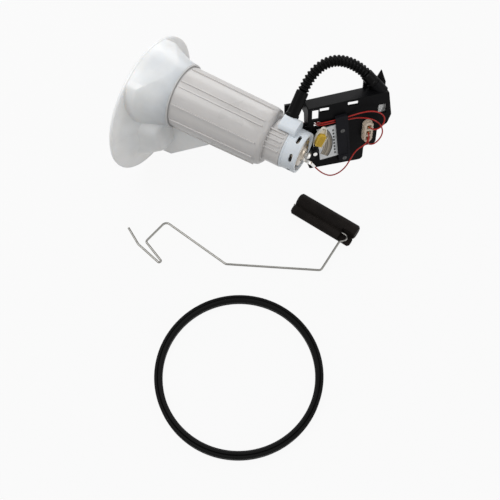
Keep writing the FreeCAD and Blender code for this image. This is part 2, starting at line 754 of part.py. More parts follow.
def wiper_rotor():
    """The coloured block that clips over the neck, with grip grooves on top."""
    block = rounded_slab([
        (8.2, -3.2, 0.8), (20.2, -3.2, 1.2), (20.2, 2.4, 1.2), (17.5, block_reach, 1.2),
        (12.5, block_reach, 1.2), (8.2, 3.6, 0.8),
    ], 0.9, 5.2)
    grooves = [box(9.4, 19.5, y, y + 0.5, 4.8, 6.0) for y in (-2.0, -0.6, 0.8, 2.2)]
    room = box(0, 14.05, -1.95, 2.65, 0, 2.65)
    return wiper_turn(block.cut(Part.makeCompound(grooves)).cut(room))


def arm_hole():
    """The hole for the arm's wire, which ends in a small window open at the top of the foot."""
    hole = Part.makeCylinder(wire_radius + run_gap, 4.8, V(-7.6, 0, 2.9), ACROSS)
    return hole.fuse(box(-3.1, -2.5, -1.5, 1.5, 1.4, 6.0))


def wiper_lever():
    """The frame-shaped lever round the block, with a small hole in its tip."""
    plate = rounded_slab(lever_corners(0.0), 0.0, 0.8)
    plate = plate.cut(rounded_box(8.4, 19.6, -1.6, 4.2, -1, 2, 1.0))
    plate = plate.cut(disc(0.9, -1, 2, lever_reach - 0.4, 1.0))
    rim = rounded_slab(lever_corners(0.0), 0.0, 2.6)
    rim = rim.cut(rounded_slab(lever_corners(0.8), -1, 4))
    neck_room = box(4.0, 9.0, -2.1, 2.8, 0.8, 3.0)
    return wiper_turn(joined([plate, rim.cut(neck_room)]))


def lever_corners(inset):
    end, low, high = lever_reach + 2.4 - inset, -5.2 + inset, block_reach + 0.9 - inset
    return [
        (5.2 + inset, low, 2.4 - inset), (16.0, low, 3 - inset), (end, -1.0 + inset / 2, 2.4 - inset),
        (end, 3.0 - inset / 2, 2.4 - inset), (19.0, high, 3 - inset), (11.6, high, 1.5),
        (5.2 + inset, 3.2, 1.5),
    ]


def wiper_contacts():
    """Two spring strips whose bent ends stand over the tracks."""
    finger_end = card_lift + card_size[2] + print_gap + print_height + 0.03 - wiper_lift
    strips = []
    for y in (-7.6, -6.2):
        bar = box(3.6, 17.0, y, y + 0.8, 0.35, 0.75)
        finger = box(16.2, 17.0, y, y + 0.8, finger_end, 0.75)
        strips += [bar, finger]
    bridge = box(3.6, 5.0, -7.6, -1.2, 0.35, 0.75)
    return wiper_turn(joined(strips + [bridge]))


def plug_corners(grow=0.0):
    wide, tall = plug_size[0] / 2 + grow, plug_size[1] / 2 + grow
    x, y = plug_middle
    return [(x - wide, y - tall, wide - 0.4), (x + wide, y - tall, wide - 0.4),
            (x + wide, y + tall, wide - 0.4), (x - wide, y + tall, wide - 0.4)]


def lead_plug():
    body = rounded_slab(plug_corners(), 0.1, plug_size[2])
    base = rounded_slab(plug_corners(0.8), 0.1, 1.6)
    teeth = []
    for side in (-1, 1):
        for i in range(6):
            y = plug_middle[1] - 7.5 + 3.0 * i
            x = plug_middle[0] + side * plug_size[0] / 2
            teeth.append(box(x - 0.8, x + 0.8, y - 0.7, y + 0.7, 0.1, plug_size[2] - 0.8))
    body = joined([body, base] + teeth)
    for i in range(3):
        y = plug_middle[1] - 6.5 + 6.4 * i
        body = body.cut(rounded_box(plug_middle[0] - 2.2, plug_middle[0] + 2.2, y - 2.2, y + 2.2,
                                    plug_size[2] - 2.6, plug_size[2] + 1, 0.6))
    return body


def plug_terminals():
    pieces = []
    for i in range(3):
        y = plug_middle[1] - 6.5 + 6.4 * i
        barrel = disc(1.2, plug_size[2] - 2.55, plug_size[2] - 0.2, plug_middle[0], y)
        pieces.append(barrel)
    return Part.makeCompound(pieces)


def in_carrier(points):
    return [on(CARRIER, *p) for p in points]


def in_flange(points):
    return [on(FLANGE, *p) for p in points]


def lead_start(number):
    return (plug_middle[0], plug_middle[1] - 6.5 + 6.4 * number, plug_size[2] - 0.15)


def signal_lead():
    x, y, z = lead_start(1)
    front = in_carrier([
        (x, y, z), (x - 0.8, y - 1.6, z + 4.6), (x - 2.2, y - 6.0, z + 6.2), (x - 0.8, y - 10.4, z + 4.2),
        (x + 4.8, y - 12.3, z + 3.5), (x + 10.6, y - 8.9, z + 2.5), (x + 13.8, y - 2.1, z + 1.7),
        (x + 12.6, y + 4.7, z + 0.9), (x + 8.2, y + 10.9, z - 0.1), (x + 0.2, y + 16.1, z - 0.9),
        (x - 10.8, y + 17.9, 2.3), (32.5, 52.9, 1.5), (18.5, 52.2, 1.5), (9.0, 51.2, 1.5),
        (4.2, 50.9, -4.0), (3.6, 46.5, -10.0), (2.5, 40.5, -16.0), (0.0, 34.5, -20.5),
    ])
    rear = in_flange([
        (31.5, 13.5, 124.0), (32.5, 17.0, 100.0), (33.5, 19.5, 72.0), (35.0, 19.0, 50.0),
        (36.0, 12.0, 38.0), (35.2, 0.0, 31.0), (32.0, -10.6, 27.6), (30.0, -16.0, 22.4),
        (window_spot[0], window_spot[1], plateau_height + 1),
    ])
    return cord("signal_lead", front + rear, lead_radius)


def supply_lead():
    x, y, z = lead_start(2)
    front = in_carrier([
        (x, y, z), (x + 1.6, y + 0.4, z + 4.2), (x + 5.6, y + 0.8, z + 6.2), (x + 12.0, y + 2.3, z + 3.7),
        (x + 14.2, y + 9.1, z + 2.3), (x + 9.8, y + 15.3, z + 1.1), (x + 1.6, y + 18.7, z + 0.3),
        (x - 7.8, y + 18.1, z - 0.9), (x - 16.6, y + 14.7, 2.0),
        (29.5, 55.0, 1.5), (18.0, 54.4, 1.5), (9.0, 53.6, 1.5), (4.2, 53.2, -4.0),
        (3.6, 49.4, -10.5), (3.0, 44.0, -17.0), (0.5, 38.0, -22.0),
    ])
    rear = in_flange([
        (32.5, 16.5, 124.0), (33.5, 20.0, 100.0), (34.5, 22.5, 72.0), (37.0, 22.0, 50.0),
        (38.6, 13.4, 40.0), (38.2, 1.0, 33.0), (35.8, -9.6, 29.4), (34.0, -16.0, 22.8),
        (window_spot[0] + 4, window_spot[1], plateau_height + 1),
    ])
    return cord("supply_lead", front + rear, lead_radius)


def ground_points():
    x, y, z = lead_start(0)
    return in_carrier([
        (x, y, z), (x - 1.6, y - 1.0, z + 4.0), (x - 5.4, y - 3.8, z + 5.0), (43.6, 21.4, 9.6),
        (38.4, 12.0, 10.0), (33.6, 2.8, 10.8), (25.8, -2.4, 12.0), (17.0, -1.0, 14.6),
        (9.6, 5.6, 17.4), (3.2, 13.4, 19.6), (-1.6, 20.6, 20.6),
    ])


def ground_lead():
    return cord("ground_lead", ground_points(), lead_radius)


def terminal_end():
    return ground_points()[-1]


def terminal_way():
    last, before = ground_points()[-1], ground_points()[-2]
    way = last - before
    way.normalize()
    return way


def arm_points():
    height = wire_radius
    high = wire_height
    return [
        V(-125.1, 46.5, height), V(-113.7, 27.4, height), V(-91.3, 6.2, height), V(-89.1, 8.2, height),
        V(-106.3, 30.6, height), V(-87.0, 53.6, height + 0.8), V(-24.2, 3.6, height + 2.2),
        V(70.2, -4.2, high - 1.0), V(90.0, 27.0, high), *float_wire_ends(),
    ]


def float_wire_ends():
    return V(103.0, 31.4, wire_height), V(46.0, 71.8, wire_height)


def arm_wire():
    """One steel wire with a hairpin hook at one end and the float's axle at the other."""
    points = arm_points()
    edges, start = [], points[0]
    bends = (6.0, 1.45, 1.45, 2.6, 5.0, 5.0, 4.0, 3.0, 4.0)
    for i, bend in enumerate(bends, start=1):
        here = points[i]
        back, ahead = points[i - 1] - here, points[i + 1] - here
        half_turn = (math.pi - back.getAngle(ahead)) / 2
        back.normalize()
        ahead.normalize()
        reach = bend * math.tan(half_turn)
        inward = back + ahead
        inward.normalize()
        centre = here + inward * (bend / math.cos(half_turn))
        a, b = here + back * reach, here + ahead * reach
        edges.append(Part.LineSegment(start, a).toShape())
        edges.append(Part.Arc(a, centre - inward * bend, b).toShape())
        start = b
    edges.append(Part.LineSegment(start, points[-1]).toShape())
    route = Part.Wire(edges)
    section = Part.Wire([Part.makeCircle(wire_radius, points[0], points[1] - points[0])])
    return route.makePipeShell([section], True, True)


def float_frame():
    """z runs along the float from its wire's entry to its far end, y up."""
    right, left = float_wire_ends()
    way = left - right
    way.normalize()
    angle = math.degrees(math.atan2(way.y, way.x))
    middle = (right + left) * 0.5
    spot = V(middle.x, middle.y, 0) - way * (float_length / 2 + 1.4)
    return shift(spot.x, spot.y, 0) * turn(V(0, 0, 1), angle) * turn(V(1, 1, 1), 120)


def float_body():
    """Two cells of unlike size side by side, with a step where the wire crosses the near one."""
    lobes = []
    for across, height, radius in float_lobes:
        lobe = disc(radius, 0, float_length, across, height)
        lobe = lobe.makeChamfer(1.6, [e for e in lobe.Edges if e.Closed])
        lobes.append(lobe)
    web = box(-7.0, 4.2, 1.2, 10.2, 1.6, float_length - 1.6)
    body = joined(lobes + [web])
    bore = disc(wire_radius + run_gap, -2, float_length + 2, 0, wire_height)
    step = box(-1.6, 12.0, wire_height - wire_radius - 0.3, 30.0, -1.0, 13.5)
    return body.cut(bore).cut(step)


def seal_ring():
    """The loose rubber ring: grooves round its outer side and a lip on top."""
    out, inner, top = ring_outer_radius, ring_outer_radius - ring_width, ring_height
    ring = turned([
        (inner + 1.6, 0), (out - 1.0, 0), (out, 1.0), (out, 2.2), (out - 0.9, 2.9), (out, 3.6),
        (out, 4.9), (out - 0.9, 5.6), (out, 6.3), (out, top - 1.0), (out - 1.0, top),
        (out - 2.4, top), (out - 3.1, top - 0.9), (out - 3.8, top), (inner + 1.6, top),
        (inner, top - 2.2), (inner, 2.2),
    ])
    ring.translate(V(ring_spot[0], ring_spot[1], 0))
    return ring


def build_all():
    here = FreeCAD.Placement()
    made = {
        "flange": (flange(), FLANGE),
        "electrical_socket": (electrical_socket(), FLANGE),
        "socket_pins": (socket_pins(), FLANGE),
        "filter_housing": (housing(), HOUSING),
        "filter_element": (filter_element(), HOUSING),
        "element_base": (element_base(), HOUSING),
        "element_head": (element_head(), HOUSING),
        "core_tube": (core_tube(), HOUSING),
        "end_cap": (end_cap(), HOUSING),
        "neck_seal": (neck_seal(), HOUSING),
        "regulator_body": (regulator_body(), HOUSING),
        "regulator_nipple": (regulator_nipple(), HOUSING),
        "regulator_seal": (regulator_seal(), HOUSING),
        "regulator_clip": (regulator_clip(), HOUSING),
        "ground_terminal": (ground_terminal(), HOUSING),
        "hose": (hose(), here),
        "inlet_cuff": (inlet_cuff(), OUTLET),
        "outlet_cuff": (outlet_cuff(), SOCKET),
        "carrier": (carrier(), CARRIER),
        "strainer": (strainer(), CARRIER),
        "jet_pump": (jet_pump(), CARRIER),
        "sensor_cover": (sensor_cover(), CARRIER),
        "cover_screws": (cover_screws(), CARRIER),
        "sensor_card": (sensor_card(), CARRIER),
        "resistor_tracks": (resistor_tracks(), CARRIER),
        "contact_band": (contact_band(), CARRIER),
        "pivot_pin": (pivot_pin(), CARRIER),
        "wiper_hub": (wiper_hub(), CARRIER),
        "wiper_rotor": (wiper_rotor(), CARRIER),
        "wiper_lever": (wiper_lever(), CARRIER),
        "wiper_contacts": (wiper_contacts(), CARRIER),
        "lead_plug": (lead_plug(), CARRIER),
        "plug_terminals": (plug_terminals(), CARRIER),
        "signal_lead": (signal_lead(), here),
        "supply_lead": (supply_lead(), here),
        "ground_lead": (ground_lead(), here),
        "arm_wire": (arm_wire(), here),
        "float": (float_body(), float_frame()),
        "seal_ring": (seal_ring(), here),
    }
    return {name: placed(shape, frame) for name, (shape, frame) in made.items()}


def main():
    os.makedirs("parts", exist_ok=True)
    shapes = build_all()
    whole = Part.makeCompound(list(shapes.values())).optimalBoundingBox(False, False)
    middle = V((whole.XMin + whole.XMax) / 2, (whole.YMin + whole.YMax) / 2, whole.ZMin)
    for name, shape in shapes.items():
        shape.translate(middle * -1)
        shape.exportStep(f"parts/{name}.step")
        if not shape.isValid() or shape.Volume <= 0:
            print("check this piece:", name, shape.isValid(), shape.Volume)
    size = (whole.XLength, whole.YLength, whole.ZLength)
    print("size", " x ".join(f"{n:.1f}" for n in size), "moved by", middle * -1)
    marks = {
        "flange middle": on(FLANGE, 0, 0, 0), "filter axis start": on(HOUSING, 0, 0, 0),
        "carrier corner": on(CARRIER, 0, 0, 0), "pivot": on(CARRIER, pivot[0], pivot[1], wiper_lift),
        "nipple": on(FLANGE, *nipple_spot, -20), "ring": V(ring_spot[0], ring_spot[1], 0),
        "float": on(float_frame(), 0, wire_height, float_length / 2),
        "arm hole": on(CARRIER, pivot[0], pivot[1], wiper_lift + 2.9),
    }
    for name, spot in marks.items():
        spot = (spot - middle) / 1000
        print(f"{name}: {spot.x:.5f}, {spot.y:.5f}, {spot.z:.5f}")
    for name, frame in (("flange", FLANGE), ("carrier", CARRIER), ("float", float_frame())):
        for letter, way in (("x", ACROSS), ("y", UP), ("z", ALONG)):
            d = frame.Rotation.multVec(way)
            print(f"{name} {letter}: {d.x:.6f}, {d.y:.6f}, {d.z:.6f}")


main()
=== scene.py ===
# %% [markdown]
# # Fuel filter with sending unit
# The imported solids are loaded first. They stay where they are, and this script only
# dresses them.

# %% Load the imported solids
import bmesh
import bpy
import math
from mathutils import Matrix, Vector


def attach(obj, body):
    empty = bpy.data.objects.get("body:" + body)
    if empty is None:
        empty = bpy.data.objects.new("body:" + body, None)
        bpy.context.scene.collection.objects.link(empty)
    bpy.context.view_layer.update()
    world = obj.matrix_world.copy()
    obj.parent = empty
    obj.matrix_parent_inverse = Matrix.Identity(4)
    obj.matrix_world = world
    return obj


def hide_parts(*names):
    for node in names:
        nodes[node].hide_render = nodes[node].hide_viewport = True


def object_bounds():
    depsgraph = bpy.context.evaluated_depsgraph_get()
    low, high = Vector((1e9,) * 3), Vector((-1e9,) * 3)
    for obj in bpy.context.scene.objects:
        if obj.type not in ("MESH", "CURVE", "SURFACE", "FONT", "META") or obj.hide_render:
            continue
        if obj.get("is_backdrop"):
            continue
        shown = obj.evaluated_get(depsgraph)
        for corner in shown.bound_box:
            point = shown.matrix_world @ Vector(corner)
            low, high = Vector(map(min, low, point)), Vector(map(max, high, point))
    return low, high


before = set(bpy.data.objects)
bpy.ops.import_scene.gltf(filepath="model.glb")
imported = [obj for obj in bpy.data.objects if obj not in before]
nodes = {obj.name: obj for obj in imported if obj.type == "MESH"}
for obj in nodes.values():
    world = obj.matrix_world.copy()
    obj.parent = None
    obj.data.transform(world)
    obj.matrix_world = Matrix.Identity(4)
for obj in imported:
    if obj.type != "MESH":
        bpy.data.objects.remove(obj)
cad_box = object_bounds()
print("pieces loaded:", len(nodes))

# %% [markdown]
# A long lens would flatten the parts. The real picture was taken from near by, so the
# lens is a normal one: a focal length of 685 pixels over 500 pixels of picture is about
# 49 mm on a 36 mm film.

# %% Camera
PIXELS = 500
FOCAL_PIXELS = 685.06
eye = Vector((0.00144, -0.31821, 0.61393))
look_at = Vector((0.00144, -0.01304, 0.04002))
lens = bpy.data.cameras.new("studio_camera")
lens.sensor_width = 36.0
lens.lens = lens.sensor_width * FOCAL_PIXELS / PIXELS
camera = bpy.data.objects.new("studio_camera", lens)
camera.location = eye
camera.rotation_euler = (look_at - eye).to_track_quat("-Z", "Y").to_euler()
bpy.context.collection.objects.link(camera)
bpy.context.scene.camera = camera
bpy.context.scene.view_settings.view_transform = "Standard"
print("lens:", round(lens.lens, 2), "mm")

# %% [markdown]
# The floor is plain and white, so that the parts stand out. To the camera and in mirror
# images it is mostly white light, with a share left in which the soft shadows show.
# Everything else sees an ordinary grey floor that throws a little light up.

# %% Floor
def node_material(name):
    """An empty node material: its tree, its output and its Principled shader."""
    material = bpy.data.materials.new(name)
    material.use_nodes = True
    tree = material.node_tree
    return material, tree, tree.nodes["Material Output"], tree.nodes["Principled BSDF"]


def link(tree, source, target):
    tree.links.new(source, target)


def white_for(tree, share):
    """How much of the plain white a ray sees: camera, mirrored and bent rays see it."""
    seen = tree.nodes.new("ShaderNodeLightPath")
    total = seen.outputs["Is Camera Ray"]
    for kind in ("Is Glossy Ray", "Is Transmission Ray"):
        either = tree.nodes.new("ShaderNodeMath")
        either.operation = "MAXIMUM"
        link(tree, total, either.inputs[0])
        link(tree, seen.outputs[kind], either.inputs[1])
        total = either.outputs[0]
    part = tree.nodes.new("ShaderNodeMath")
    part.operation = "MULTIPLY"
    part.inputs[1].default_value = share
    link(tree, total, part.inputs[0])
    return part.outputs[0]


FLOOR_HALF, FLOOR_DROP = 4.0, 0.0004
WHITE_SHARE = 0.93
floor_mesh = bpy.data.meshes.new("floor")
work = bmesh.new()
bmesh.ops.create_grid(work, x_segments=1, y_segments=1, size=FLOOR_HALF)
work.to_mesh(floor_mesh)
work.free()
floor = bpy.data.objects.new("floor", floor_mesh)
floor.location.z = -FLOOR_DROP
bpy.context.collection.objects.link(floor)
floor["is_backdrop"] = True

paper, tree, out, shader = node_material("white_sweep")
shader.inputs["Base Color"].default_value = (0.34, 0.34, 0.34, 1)
shader.inputs["Roughness"].default_value = 0.9
bright = tree.nodes.new("ShaderNodeEmission")
bright.inputs["Strength"].default_value = 1.0
pick = tree.nodes.new("ShaderNodeMixShader")
link(tree, white_for(tree, WHITE_SHARE), pick.inputs["Fac"])
link(tree, shader.outputs["BSDF"], pick.inputs[1])
link(tree, bright.outputs["Emission"], pick.inputs[2])
link(tree, pick.outputs["Shader"], out.inputs["Surface"])
floor_mesh.materials.append(paper)
print("floor laid")

# %% [markdown]
# Soft studio light: one wide lamp above and to the left, a weaker one low on the right, one
# behind, and an even grey world. Black plastic shows its shape only by what it mirrors, so
# the lamps are large sheets rather than points.

# %% Light
def sheet_lamp(name, spot, aim, width, power):
    """A soft lamp at a spot, turned to shine at the aim."""
    data = bpy.data.lights.new(name, "AREA")
    data.shape = "RECTANGLE"
    data.size = width
    data.size_y = width * 0.7
    data.energy = power
    lamp = bpy.data.objects.new(name, data)
    lamp.location = spot
    lamp.rotation_euler = (Vector(aim) - Vector(spot)).to_track_quat("-Z", "Y").to_euler()
    bpy.context.collection.objects.link(lamp)


sheet_lamp("main_sheet", (-0.75, 0.15, 1.3), (0, 0.05, 0.05), 0.9, 9)
sheet_lamp("side_sheet", (1.1, -0.5, 0.55), (0, 0.05, 0.05), 0.7, 2.8)
sheet_lamp("back_sheet", (0.2, 1.2, 0.7), (0, 0.1, 0.08), 0.8, 4)

world = bpy.data.worlds.new("studio")
bpy.context.scene.world = world
world.use_nodes = True
tree = world.node_tree
air = tree.nodes["Background"]
air.inputs["Color"].default_value = (1, 1, 1, 1)
air.inputs["Strength"].default_value = 0.59
white = tree.nodes.new("ShaderNodeBackground")
white.inputs["Strength"].default_value = 1.0
white.inputs["Color"].default_value = (1, 1, 1, 1)
pick = tree.nodes.new("ShaderNodeMixShader")
link(tree, white_for(tree, 1.0), pick.inputs["Fac"])
link(tree, air.outputs["Background"], pick.inputs[1])
link(tree, white.outputs["Background"], pick.inputs[2])
link(tree, pick.outputs["Shader"], tree.nodes["World Output"].inputs["Surface"])
print("lamps:", len(bpy.data.lights))

# %% [markdown]
# The cords come before the other pieces. A lead is a thin jacketed wire that takes easy
# curves by itself. A tube mesh swept along a path would do, but a smooth spline with a round
# bevel keeps its few control points, so the wire's route can still be read and changed.

# %% Lead helper
LEAD_RADIUS = 0.00065


def lead(name, points):
    """A round wire along a smooth spline with these control points.

    The bevel is 1 and each point's own radius is the wire's, so that the curve's box is true.
    """
    curve = bpy.data.curves.new(name, "CURVE")
    curve.dimensions = "3D"
    curve.bevel_depth = 1.0
    curve.bevel_resolution = 4
    curve.resolution_u = 8
    curve.use_fill_caps = True
    spline = curve.splines.new("NURBS")
    spline.points.add(len(points) - 1)
    for point, spot in zip(spline.points, points):
        point.co = (*spot, 1)
        point.radius = LEAD_RADIUS
    spline.order_u = 3
    spline.use_endpoint_u = True
    wire = bpy.data.objects.new(name + "_wire", curve)
    bpy.context.collection.objects.link(wire)
    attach(wire, "filter_unit")
    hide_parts(name)
    return wire


print("lead thickness:", 2 * LEAD_RADIUS * 1000, "mm")

# %% [markdown]
# Two leads start at the plug on the carrier, make a loop each, pass under the sender's cover
# side by side and go through the carrier's opening. From there they run along the hidden side
# of the filter to the socket in the flange. They lie loose.

# %% Signal and supply leads
signal_wire = lead("signal_lead", [
    (0.11322, 0.08303, 0.09507), (0.11356, 0.07813, 0.09465), (0.11273, 0.07524, 0.09079),
    (0.11380, 0.07640, 0.08601), (0.11916, 0.07791, 0.08389), (0.12444, 0.08101, 0.08684),
    (0.12711, 0.08413, 0.09318), (0.12550, 0.08623, 0.09961), (0.12076, 0.08764, 0.10547),
    (0.11260, 0.08777, 0.11047), (0.10134, 0.08767, 0.11192), (0.08903, 0.08531, 0.11109),
    (0.07544, 0.08189, 0.11068), (0.06624, 0.07944, 0.10990), (0.06032, 0.08344, 0.10837),
    (0.05852, 0.08791, 0.10267), (0.05630, 0.09187, 0.09542), (0.05306, 0.09410, 0.08856),
    (0.02558, 0.10419, 0.08071), (0.00532, 0.11691, 0.08484), (-0.01843, 0.13162, 0.08808),
    (-0.03680, 0.14383, 0.08817), (-0.04688, 0.15074, 0.08149), (-0.05363, 0.15367, 0.06968),
    (-0.05842, 0.15272, 0.05917), (-0.06405, 0.15363, 0.05391), (-0.07049, 0.15731, 0.05311),
])
supply_wire = lead("supply_lead", [
    (0.11298, 0.08456, 0.10128), (0.11548, 0.08107, 0.10265), (0.11982, 0.08021, 0.10345),
    (0.12541, 0.08441, 0.10418), (0.12697, 0.08787, 0.11039), (0.12218, 0.08946, 0.11621),
    (0.11389, 0.08912, 0.11947), (0.10450, 0.08792, 0.11878), (0.09551, 0.08737, 0.11506),
    (0.08604, 0.08511, 0.11319), (0.07488, 0.08230, 0.11283), (0.06615, 0.08002, 0.11223),
    (0.06024, 0.08399, 0.11060), (0.05830, 0.08907, 0.10536), (0.05643, 0.09377, 0.09856),
    (0.05307, 0.09647, 0.09159), (0.02614, 0.10502, 0.08370), (0.00589, 0.11774, 0.08784),
    (-0.01787, 0.13245, 0.09108), (-0.03574, 0.14553, 0.09117), (-0.04383, 0.15199, 0.08283),
    (-0.05039, 0.15527, 0.07062), (-0.05495, 0.15511, 0.06012), (-0.06172, 0.15690, 0.05390),
    (-0.06851, 0.16078, 0.05311),
])
print("long leads:", signal_wire.name, supply_wire.name)

# %% [markdown]
# The third lead hangs in a bow from the plug to the tab on the pressure regulator, which it
# grounds. It is made in the same way, and it hangs instead of lying.

# %% Ground lead
ground_wire = lead("ground_lead", [
    (0.11346, 0.08150, 0.08886), (0.11286, 0.07712, 0.08889), (0.10950, 0.07462, 0.08649),
    (0.10288, 0.07272, 0.08227), (0.09827, 0.06889, 0.07334), (0.09414, 0.06482, 0.06470),
    (0.08702, 0.06064, 0.06010), (0.07901, 0.05647, 0.06225), (0.07221, 0.05369, 0.06948),
    (0.06620, 0.05199, 0.07770), (0.06149, 0.05166, 0.08502),
])
print("short lead:", ground_wire.name)

# %% [markdown]
# The convoluted hose stands in an arch between its two cuffs. The arch is a single cubic
# curve with four handles, which is enough for a hose that is held at both ends and free in
# between. Its length decides how long the straight hose has to be.

# %% Arch of the hose
def arch(points):
    """A cubic arch from its four handles."""
    curve = bpy.data.curves.new("hose_way", "CURVE")
    curve.dimensions = "3D"
    curve.resolution_u = 64
    spline = curve.splines.new("BEZIER")
    spline.bezier_points.add(1)
    first, last = spline.bezier_points
    first.co, first.handle_right, first.handle_left = points[0], points[1], points[0]
    last.co, last.handle_left, last.handle_right = points[3], points[2], points[3]
    way = bpy.data.objects.new("hose_way", curve)
    bpy.context.collection.objects.link(way)
    return way, spline.calc_length()


hose_way, hose_length = arch([
    (0.04871, 0.09408, 0.14064), (0.06664, 0.12394, 0.16975),
    (0.09796, 0.11803, 0.14878), (0.10635, 0.11382, 0.14131),
])
print("arch:", round(hose_length * 1000, 1), "mm")

# %% [markdown]
# The hose is a thin tube with a round wave moulded into its wall, which lets it bend without
# a kink. One profile could be spun and copied, but here a circle is extruded ring by ring
# along a straight line, because a cosine then gives every ring its radius.

# %% Straight wavy tube
HOSE_CREST, HOSE_ROOT = 0.0053, 0.0037
HOSE_SIDES = 28
CREST_WIDENING = 0.8
RINGS_PER_WAVE = 8
WAVES = 21
work = bmesh.new()
step = hose_length / (WAVES * RINGS_PER_WAVE)
ring = bmesh.ops.create_circle(work, segments=HOSE_SIDES, radius=HOSE_ROOT)["verts"]
bmesh.ops.rotate(work, verts=ring, matrix=Matrix.Rotation(math.pi / 2, 3, "Y"))
edges = work.edges[:]
for i in range(1, WAVES * RINGS_PER_WAVE + 1):
    grown = bmesh.ops.extrude_edge_only(work, edges=edges)["geom"]
    ring = [g for g in grown if isinstance(g, bmesh.types.BMVert)]
    edges = [g for g in grown if isinstance(g, bmesh.types.BMEdge)]
    wave = (1 - math.cos(2 * math.pi * i / RINGS_PER_WAVE)) / 2
    radius = HOSE_ROOT + (HOSE_CREST - HOSE_ROOT) * wave ** CREST_WIDENING
    for vert in ring:
        vert.co.x = i * step
        flat = Vector((0, vert.co.y, vert.co.z)).normalized() * radius
        vert.co.y, vert.co.z = flat.y, flat.z
bmesh.ops.holes_fill(work, edges=[e for e in work.edges if e.is_boundary])
bmesh.ops.recalc_face_normals(work, faces=work.faces[:])
straight_mesh = bpy.data.meshes.new("hose_straight")
work.to_mesh(straight_mesh)
work.free()
straight = bpy.data.objects.new("hose_straight", straight_mesh)
bpy.context.collection.objects.link(straight)
print("straight tube:", WAVES, "waves,", len(straight_mesh.vertices), "points")

# %% [markdown]
# A Curve modifier lays the straight tube along the arch. A finished piece must be an ordinary
# mesh at the origin, so the bent shape is read from the evaluated copy, and the straight tube
# and the arch are taken out again.

# %% Bent hose
bend = straight.modifiers.new("bend", "CURVE")
bend.object = hose_way
bend.deform_axis = "POS_X"
bpy.context.view_layer.update()
evaluated = straight.evaluated_get(bpy.context.evaluated_depsgraph_get())
hose_mesh = bpy.data.meshes.new_from_object(evaluated)
hose_mesh.name = "hose_convolutions"
hose = bpy.data.objects.new("hose_convolutions", hose_mesh)
bpy.context.collection.objects.link(hose)
bpy.data.objects.remove(straight)
bpy.data.objects.remove(hose_way)
hose_mesh.shade_smooth()
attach(hose, "filter_unit")
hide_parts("hose")
print("hose:", round(hose_length * 1000, 1), "mm,", len(hose_mesh.polygons), "faces")

# %% [markdown]
# The canister is welded into the flange's bell. The weld leaves a small round bead in the
# corner, which also closes the fitting gap to the eye. A torus could be added ready made,
# but a circle spun round the filter's axis lands in the bell's mouth without a second step.

# %% Weld bead
BELL_MOUTH = Vector((-0.06157, 0.11767, 0.10574))
FILTER_WAY = Vector((0.868153, -0.495587, -0.026526))
BEAD_RADIUS, BEAD_THICKNESS = 0.0311, 0.0011
BEAD_SIDES, BEAD_STEPS = 12, 96


def new_piece(name, mesh_work, body):
    """Turns finished bmesh work into an object that rides on a body."""
    mesh = bpy.data.meshes.new(name)
    mesh_work.to_mesh(mesh)
    mesh_work.free()
    piece = bpy.data.objects.new(name, mesh)
    bpy.context.collection.objects.link(piece)
    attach(piece, body)
    return piece


def bead(name, middle, way, radius, thickness, body):
    """A ring of round section about an axis: a small circle, spun one full turn."""
    work = bmesh.new()
    section = bmesh.ops.create_circle(work, segments=BEAD_SIDES, radius=thickness)["verts"]
    bmesh.ops.rotate(work, verts=section, matrix=Matrix.Rotation(math.pi / 2, 3, "X"))
    bmesh.ops.translate(work, verts=section, vec=(radius, 0, 0))
    bmesh.ops.spin(work, geom=work.verts[:] + work.edges[:], axis=(0, 0, 1), cent=(0, 0, 0),
                   angle=2 * math.pi, steps=BEAD_STEPS, use_merge=True)
    bmesh.ops.transform(work, verts=work.verts[:], matrix=way.to_track_quat("Z", "Y").to_matrix())
    bmesh.ops.translate(work, verts=work.verts[:], vec=middle)
    bmesh.ops.recalc_face_normals(work, faces=work.faces[:])
    piece = new_piece(name, work, body)
    piece.data.shade_smooth()
    return piece


weld = bead("weld_bead", BELL_MOUTH, FILTER_WAY, BEAD_RADIUS, BEAD_THICKNESS, "filter_unit")
print("bead faces:", len(weld.data.polygons))

# %% [markdown]
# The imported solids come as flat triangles. A small node group joins their corners and
# shades everything smooth except at true edges, so that turned shapes look round and
# moulded edges stay crisp. It works as a modifier and leaves the mesh itself alone.

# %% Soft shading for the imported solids
SHARP_FROM = 32
CORNER_GAP = 0.000002


def soft_shading(limit_degrees):
    """A node group that smooths all but the edges which bend by more than the limit."""
    group = bpy.data.node_groups.new("soft_shading", "GeometryNodeTree")
    group.interface.new_socket("Geometry", in_out="INPUT", socket_type="NodeSocketGeometry")
    group.interface.new_socket("Geometry", in_out="OUTPUT", socket_type="NodeSocketGeometry")
    start = group.nodes.new("NodeGroupInput")
    end = group.nodes.new("NodeGroupOutput")
    merge = group.nodes.new("GeometryNodeMergeByDistance")
    merge.inputs["Distance"].default_value = CORNER_GAP
    faces = group.nodes.new("GeometryNodeSetShadeSmooth")
    faces.domain = "FACE"
    sharp = group.nodes.new("GeometryNodeSetShadeSmooth")
    sharp.domain = "EDGE"
    sharp.inputs["Shade Smooth"].default_value = False
    angle = group.nodes.new("GeometryNodeInputMeshEdgeAngle")
    compare = group.nodes.new("FunctionNodeCompare")
    compare.data_type = "FLOAT"
    compare.operation = "GREATER_THAN"
    compare.inputs["B"].default_value = math.radians(limit_degrees)
    group.links.new(start.outputs[0], merge.inputs["Geometry"])
    group.links.new(merge.outputs["Geometry"], faces.inputs["Geometry"])
    group.links.new(faces.outputs["Geometry"], sharp.inputs["Geometry"])
    group.links.new(angle.outputs["Unsigned Angle"], compare.inputs["A"])
    group.links.new(compare.outputs["Result"], sharp.inputs["Selection"])
    group.links.new(sharp.outputs["Geometry"], end.inputs[0])
    return group


